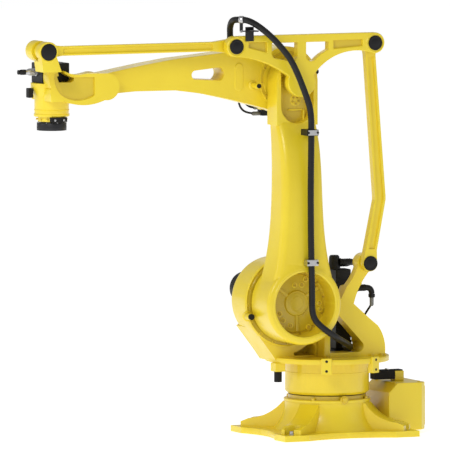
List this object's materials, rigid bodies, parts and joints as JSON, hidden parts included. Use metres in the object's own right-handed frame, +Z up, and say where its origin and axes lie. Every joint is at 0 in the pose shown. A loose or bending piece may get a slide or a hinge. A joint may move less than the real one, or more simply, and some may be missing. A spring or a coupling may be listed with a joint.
{
  "type": "industrial robot arm",
  "caption": "Four-axis palletising robot arm: turning carriage, lower arm, forearm and parallel links that keep the tool flange level.",
  "frame": {"origin": "on the floor, where the turning axis meets the underside of the base, with the floor bolts centred 10 mm ahead of it", "axes": "+X forward along the arm in the stored pose, +Y to the robot's left, +Z up along the turning axis"},
  "size_m": [2.0195, 0.7077, 1.9572],
  "materials": {
    "yellow_paint": "satin",
    "black_cap": "satin",
    "grey_cover": "satin",
    "box_grey": "satin",
    "black_steel": "satin",
    "black_motor": "satin",
    "black_plastic": "matt",
    "silver_metal": "satin",
    "rubber": "matt"
  },
  "bodies": {
    "base": {"base_casting": "yellow_paint", "junction_box": "box_grey", "box_panel": "box_grey", "power_connector": "silver_metal", "signal_connector": "black_plastic", "stop_post": "yellow_paint", "stop_block": "black_steel", "bearing_seal": "black_steel"},
    "carriage": {"carriage_casting": "yellow_paint", "shoulder_ring": "black_steel", "turn_motor": "black_motor", "turn_motor_plug": "black_plastic", "shoulder_motor": "black_motor", "shoulder_motor_plug": "black_plastic", "link_bracket": "yellow_paint", "bracket_plug": "black_plastic", "turn_buffer_block": "grey_cover", "turn_buffer": "rubber", "shoulder_stop": "yellow_paint", "shoulder_stop_tip": "rubber", "hose_low": "rubber", "bracket_cable": "rubber"},
    "lower_arm": {"lower_arm": "yellow_paint", "shoulder_cover": "grey_cover", "hose_clamp_low": "black_steel", "hose_clamp_high": "black_steel", "hose_arm": "rubber"},
    "rear_link": {"rear_link": "yellow_paint", "bracket_pin": "black_cap"},
    "triangle": {"triangle_link": "yellow_paint", "rear_pin": "silver_metal", "rear_pin_cap": "black_cap", "front_pin": "silver_metal", "front_pin_cap": "black_cap", "hose_bracket": "black_steel", "hose_high": "rubber"},
    "forearm": {"forearm": "yellow_paint", "elbow_ring": "black_steel", "elbow_gearbox": "grey_cover", "elbow_motor": "black_motor", "elbow_motor_plug": "black_plastic", "elbow_stop_tip": "rubber", "elbow_cable": "rubber", "elbow_signal_cable": "rubber"},
    "top_link": {"top_link": "yellow_paint"},
    "wrist": {"wrist_casting": "yellow_paint", "wrist_pin": "silver_metal", "wrist_high_pin": "silver_metal", "wrist_high_pin_cap": "black_cap", "wrist_motor": "black_motor", "wrist_connector": "silver_metal", "wrist_signal_plug": "black_plastic", "wrist_stop_block": "rubber"},
    "flange": {"tool_flange": "black_steel"}
  },
  "joints": [
    {"name": "turn", "type": "hinge", "parent": "base", "child": "carriage", "pos_m": [0, 0, 0.19], "axis": [0, 0, 1], "range_deg": [-155, 155]},
    {"name": "shoulder_swing", "type": "hinge", "parent": "carriage", "child": "lower_arm", "pos_m": [0.231, 0, 0.625], "axis": [0, 1, 0], "range_deg": [-10, 50], "deforming": ["hose_low"]},
    {"name": "rear_link_swing", "type": "hinge", "parent": "carriage", "child": "rear_link", "pos_m": [-0.138, 0.16, 0.797], "axis": [0, 1, 0], "range_deg": [-10, 50]},
    {"name": "triangle_level", "type": "hinge", "parent": "lower_arm", "child": "triangle", "pos_m": [0.231, 0.2, 1.645], "axis": [0, 1, 0], "range_deg": [-50, 10], "deforming": ["hose_high"]},
    {"name": "elbow_swing", "type": "hinge", "parent": "triangle", "child": "forearm", "pos_m": [0.231, 0, 1.645], "axis": [0, -1, 0], "range_deg": [-30, 12]},
    {"name": "top_link_swing", "type": "hinge", "parent": "triangle", "child": "top_link", "pos_m": [0.56, 0.16, 1.817], "axis": [0, -1, 0], "range_deg": [-30, 12]},
    {"name": "wrist_level", "type": "hinge", "parent": "forearm", "child": "wrist", "pos_m": [1.166, 0, 1.645], "axis": [0, -1, 0], "range_deg": [-12, 30]},
    {"name": "tool_turn", "type": "hinge", "parent": "wrist", "child": "flange", "pos_m": [1.3825, 0, 1.46], "axis": [0, 0, 1], "range_deg": [-360, 360]}
  ],
  "couplings": [
    {"joint": "rear_link_swing", "follows": "shoulder_swing", "ratio": 1},
    {"joint": "triangle_level", "follows": "shoulder_swing", "ratio": -1},
    {"joint": "top_link_swing", "follows": "elbow_swing", "ratio": 1},
    {"joint": "wrist_level", "follows": "elbow_swing", "ratio": -1}
  ]
}
